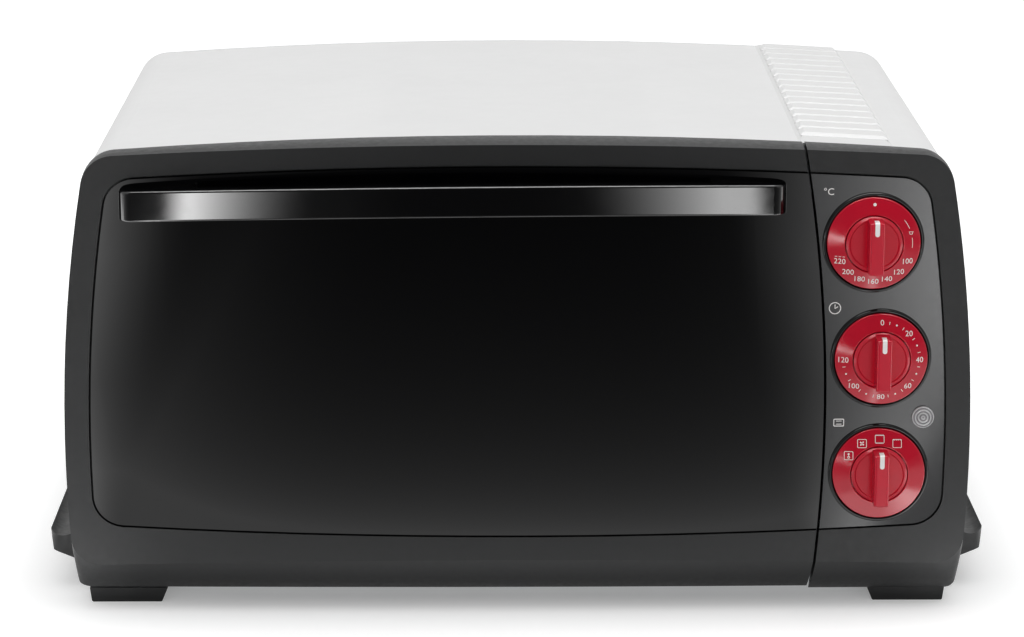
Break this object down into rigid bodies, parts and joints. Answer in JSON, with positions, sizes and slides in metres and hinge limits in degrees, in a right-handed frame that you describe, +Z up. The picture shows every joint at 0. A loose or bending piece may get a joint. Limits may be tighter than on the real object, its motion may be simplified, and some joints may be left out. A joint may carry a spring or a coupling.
{
  "type": "mini oven",
  "caption": "Countertop mini oven: white bowed casing, black front with drop-down glass door, bowed bar handle, red dials, sliding rack and trays, feet and side grips.",
  "frame": {"origin": "middle of the overall box, on the worktop", "axes": "+X to the viewer's right, +Y away from the viewer, +Z up; the door faces -Y"},
  "size_m": [0.472, 0.3652, 0.2377],
  "materials": {
    "casing_white": "satin white powder coat",
    "sheet_grey": "zinc plated sheet",
    "screw_steel": "plated steel",
    "moulding_black": "satin black moulding",
    "enamel_grey": "dark grey enamel",
    "element_steel": "heat-tinted steel tube",
    "ceramic_white": "unglazed ceramic",
    "fan_aluminium": "pressed sheet",
    "motor_steel": "laminated core",
    "facia_black": "fine satin black",
    "bulb_copper": "copper tube",
    "lens_clear": "clear with fine moulded rings",
    "lamp_glass": "clear bulb",
    "rack_chrome": "bright plated wire",
    "tray_enamel": "black enamel",
    "tray_aluminium": "pressed sheet",
    "door_glass": "dark tinted, polished",
    "inner_glass": "clear, polished",
    "seal_silicone": "soft matt",
    "handle_black": "high gloss",
    "dial_red": "glossy dark red",
    "knob_red": "glossy red",
    "pointer_white": "white",
    "control_housing": "plain moulding"
  },
  "bodies": {
    "oven": {"outer_casing": "casing_white", "rear_cover": "sheet_grey", "rear_screws": "screw_steel", "base_pan": "sheet_grey", "foot_screws": "screw_steel", "side_grip_left": "moulding_black", "side_grip_right": "moulding_black", "front_foot_left": "moulding_black", "front_foot_right": "moulding_black", "rear_foot_left": "moulding_black", "rear_foot_right": "moulding_black", "front_frame": "sheet_grey", "cavity_liner": "enamel_grey", "cavity_rear_wall": "enamel_grey", "upper_element": "element_steel", "lower_element": "element_steel", "element_insulators": "ceramic_white", "cavity_clips": "element_steel", "fan_guard": "enamel_grey", "fan_motor": "motor_steel", "panel_frame": "moulding_black", "panel_facia": "facia_black", "control_bracket": "sheet_grey", "control_nuts": "screw_steel", "thermostat_bulb": "bulb_copper", "indicator_lens": "lens_clear", "indicator_lamp": "lamp_glass", "cord_gland": "moulding_black", "terminal_block": "ceramic_white", "hinge_springs": "screw_steel", "hinge_brackets": "sheet_grey", "thermostat_dial": "dial_red", "thermostat_body": "control_housing", "timer_dial": "dial_red", "timer_body": "control_housing", "selector_dial": "dial_red", "selector_body": "control_housing"},
    "door": {"door_frame": "moulding_black", "door_glass": "door_glass", "door_inner_panel": "enamel_grey", "door_inner_glass": "inner_glass", "door_seal": "seal_silicone", "door_handle": "handle_black", "handle_screws": "screw_steel", "hinge_pins": "screw_steel", "stay_arm": "screw_steel"},
    "fan": {"fan_blade": "fan_aluminium", "fan_shaft": "screw_steel"},
    "wire_rack": {"wire_rack": "rack_chrome"},
    "baking_tray": {"baking_tray": "tray_enamel"},
    "crumb_tray": {"crumb_tray": "tray_aluminium"},
    "thermostat_knob": {"thermostat_knob": "knob_red", "thermostat_pointer": "pointer_white", "thermostat_shaft": "screw_steel"},
    "timer_knob": {"timer_knob": "knob_red", "timer_pointer": "pointer_white", "timer_shaft": "screw_steel"},
    "selector_knob": {"selector_knob": "knob_red", "selector_pointer": "pointer_white", "selector_shaft": "screw_steel"}
  },
  "joints": [
    {"name": "door_hinge", "type": "hinge", "parent": "oven", "child": "door", "pos_m": [0, -0.1486, 0.0218], "axis": [1, 0, 0], "range_deg": [0, 85], "stiffness_Nm_per_rad": 0.8, "springref_deg": -17.19},
    {"name": "fan_spin", "type": "hinge", "parent": "oven", "child": "fan", "pos_m": [-0.026, 0.1116, 0.131], "axis": [0, 1, 0], "continuous": true},
    {"name": "wire_rack_slide", "type": "slide", "parent": "oven", "child": "wire_rack", "axis": [0, -1, 0], "range_m": [0, 0.104]},
    {"name": "baking_tray_slide", "type": "slide", "parent": "oven", "child": "baking_tray", "axis": [0, -1, 0], "range_m": [0, 0.075]},
    {"name": "crumb_tray_slide", "type": "slide", "parent": "oven", "child": "crumb_tray", "axis": [0, -1, 0], "range_m": [0, 0.038]},
    {"name": "thermostat_turn", "type": "hinge", "parent": "oven", "child": "thermostat_knob", "pos_m": [0.1727, -0.1626, 0.187], "axis": [0, 1, 0], "range_deg": [0, 250]},
    {"name": "timer_turn", "type": "hinge", "parent": "oven", "child": "timer_knob", "pos_m": [0.1776, -0.1626, 0.1291], "axis": [0, 1, 0], "range_deg": [0, 270]},
    {"name": "selector_turn", "type": "hinge", "parent": "oven", "child": "selector_knob", "pos_m": [0.1776, -0.1626, 0.07119], "axis": [0, 1, 0], "range_deg": [-55, 30]}
  ],
  "couplings": [
    {"joint": "wire_rack_slide", "follows": "door_hinge", "m_per_rad": 0.07},
    {"joint": "baking_tray_slide", "follows": "door_hinge", "m_per_rad": 0.05},
    {"joint": "crumb_tray_slide", "follows": "door_hinge", "m_per_rad": 0.025}
  ]
}
